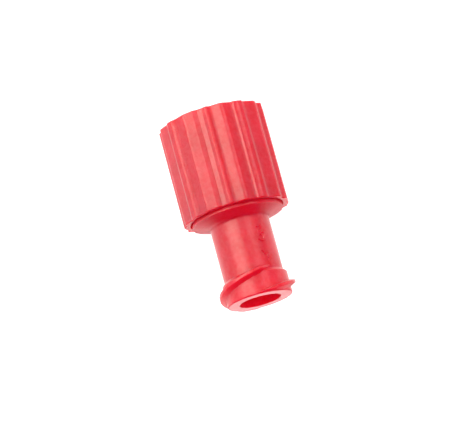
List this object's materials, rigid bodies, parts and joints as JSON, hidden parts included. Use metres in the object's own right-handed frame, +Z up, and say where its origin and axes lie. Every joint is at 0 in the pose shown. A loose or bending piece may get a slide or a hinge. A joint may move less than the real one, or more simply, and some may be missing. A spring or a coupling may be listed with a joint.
{
  "type": "luer-lock combination stopper",
  "caption": "Red luer-lock closing cap: ribbed lock collar turning round a recessed male cone, plain stem with a blind female luer port and screw lugs.",
  "frame": {"origin": "on the surface the stopper lies on, under the middle of its length", "axes": "+Y along the stopper's own axis, from the female port to the collar's mouth; +Z up, away from the surface"},
  "size_m": [0.011, 0.0196, 0.0109],
  "materials": {
    "collar_plastic": "satin moulded red plastic, ribbed",
    "body_plastic": "satin moulded red plastic",
    "cone_plastic": "smooth moulded red plastic"
  },
  "bodies": {
    "body": {"stopper_body": "body_plastic", "cone_plug": "cone_plastic"},
    "collar": {"lock_collar": "collar_plastic"}
  },
  "joints": [
    {"name": "collar_spin", "type": "hinge", "parent": "body", "child": "collar", "pos_m": [0, 0, 0.00541], "axis": [0, 1, 0], "continuous": true}
  ]
}
